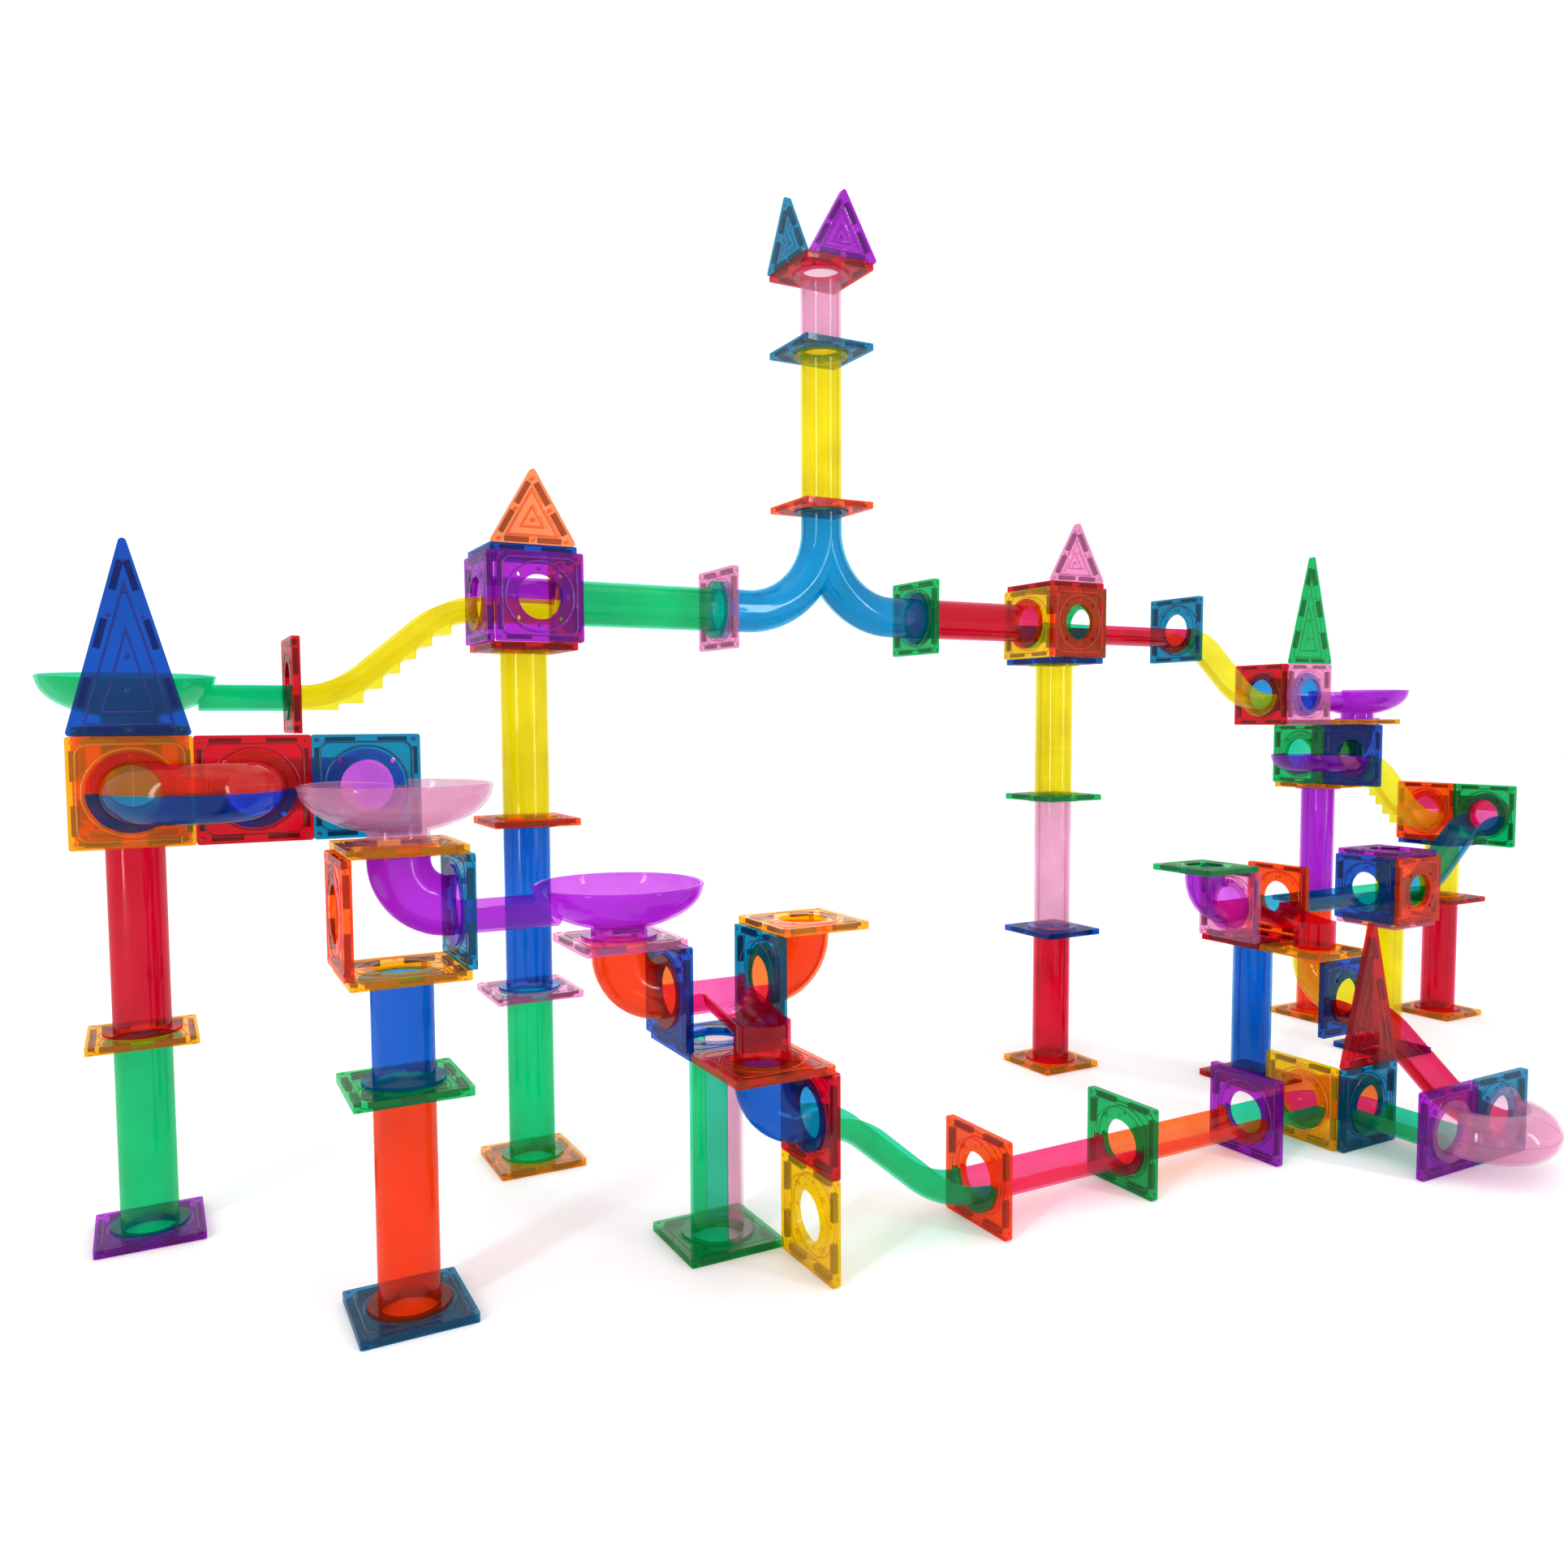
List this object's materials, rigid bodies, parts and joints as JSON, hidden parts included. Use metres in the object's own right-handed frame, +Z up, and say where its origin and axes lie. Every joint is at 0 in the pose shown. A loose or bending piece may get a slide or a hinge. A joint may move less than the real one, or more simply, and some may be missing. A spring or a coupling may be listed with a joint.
{
  "type": "magnetic tile marble run",
  "caption": "Clear coloured marble run of square magnetic tiles with round ports, tube towers, bowls, slides, a splitter arch and lift-off roof triangles.",
  "frame": {"origin": "middle of the footprint on the surface the run stands on", "axes": "+X along the long side of the run, +Y from the front low row to the back high row, +Z up"},
  "size_m": [1.598, 0.5426, 0.8873],
  "materials": {
    "clear_amber": "clear glossy amber plastic, see-through, deeper where pieces overlap",
    "clear_blue": "clear glossy blue plastic, see-through, deeper where pieces overlap",
    "clear_cyan": "clear glossy cyan plastic, see-through, deeper where pieces overlap",
    "clear_green": "clear glossy green plastic, see-through, deeper where pieces overlap",
    "clear_magenta": "clear glossy magenta plastic, see-through, deeper where pieces overlap",
    "clear_orange": "clear glossy orange plastic, see-through, deeper where pieces overlap",
    "clear_pink": "clear glossy pink plastic, see-through, deeper where pieces overlap",
    "clear_purple": "clear glossy purple plastic, see-through, deeper where pieces overlap",
    "clear_red": "clear glossy red plastic, see-through, deeper where pieces overlap",
    "clear_rose": "clear glossy rose plastic, see-through, deeper where pieces overlap",
    "clear_teal": "clear glossy teal plastic, see-through, deeper where pieces overlap",
    "clear_yellow": "clear glossy yellow plastic, see-through, deeper where pieces overlap",
    "magnet_steel": "dull dark bar magnets sealed inside the tiles"
  },
  "bodies": {
    "root": {"bowl_green": "clear_green", "bowl_pink": "clear_pink", "bowls_purple": "clear_purple", "channel_orange": "clear_orange", "channel_red": "clear_red", "channel_rose": "clear_rose", "channel_teal": "clear_teal", "channels_green": "clear_green", "chutes_red": "clear_red", "elbow_green": "clear_green", "elbow_yellow": "clear_yellow", "elbows_blue": "clear_blue", "elbows_orange": "clear_orange", "elbows_purple": "clear_purple", "elbows_red": "clear_red", "junction_magenta": "clear_magenta", "junction_red": "clear_red", "slide_green": "clear_green", "slide_red": "clear_red", "slide_teal": "clear_teal", "slide_yellow": "clear_yellow", "slides_stair": "clear_yellow", "splitter_cyan": "clear_cyan", "tile_magnets": "magnet_steel", "tiles_amber": "clear_amber", "tiles_blue": "clear_blue", "tiles_green": "clear_green", "tiles_orange": "clear_orange", "tiles_pink": "clear_pink", "tiles_purple": "clear_purple", "tiles_red": "clear_red", "tiles_teal": "clear_teal", "tiles_yellow": "clear_yellow", "tubes_blue": "clear_blue", "tubes_green": "clear_green", "tubes_orange": "clear_orange", "tubes_pink": "clear_pink", "tubes_purple": "clear_purple", "tubes_red": "clear_red", "tubes_yellow": "clear_yellow", "u_turn_blue": "clear_blue", "u_turn_magenta": "clear_magenta", "u_turn_orange": "clear_orange", "u_turn_pink": "clear_pink", "u_turn_red": "clear_red", "u_turns_purple": "clear_purple"},
    "roof_triangle_orange": {"triangle_orange": "clear_orange", "triangle_orange_magnets": "magnet_steel"},
    "roof_triangle_pink": {"triangle_pink": "clear_pink", "triangle_pink_magnets": "magnet_steel"},
    "roof_triangle_teal": {"triangle_teal": "clear_teal", "triangle_teal_magnets": "magnet_steel"},
    "roof_triangle_purple": {"triangle_purple": "clear_purple", "triangle_purple_magnets": "magnet_steel"},
    "roof_triangle_blue": {"triangle_blue": "clear_blue", "triangle_blue_magnets": "magnet_steel"},
    "roof_triangle_green": {"triangle_green": "clear_green", "triangle_green_magnets": "magnet_steel"},
    "roof_triangle_red": {"triangle_red": "clear_red", "triangle_red_magnets": "magnet_steel"}
  },
  "joints": [
    {"name": "lift_off_orange_triangle", "type": "slide", "parent": "root", "child": "roof_triangle_orange", "axis": [0, 0, 1], "range_m": [0, 0.06]},
    {"name": "lift_off_pink_triangle", "type": "slide", "parent": "root", "child": "roof_triangle_pink", "axis": [0, 0, 1], "range_m": [0, 0.06]},
    {"name": "lift_off_teal_triangle", "type": "slide", "parent": "root", "child": "roof_triangle_teal", "axis": [0, 0, 1], "range_m": [0, 0.06]},
    {"name": "lift_off_purple_triangle", "type": "slide", "parent": "root", "child": "roof_triangle_purple", "axis": [0, 0, 1], "range_m": [0, 0.06]},
    {"name": "lift_off_blue_triangle", "type": "slide", "parent": "root", "child": "roof_triangle_blue", "axis": [0, 0, 1], "range_m": [0, 0.06]},
    {"name": "lift_off_green_triangle", "type": "slide", "parent": "root", "child": "roof_triangle_green", "axis": [0, 0, 1], "range_m": [0, 0.06]},
    {"name": "lift_off_red_triangle", "type": "slide", "parent": "root", "child": "roof_triangle_red", "axis": [0, 0, 1], "range_m": [0, 0.06]}
  ]
}
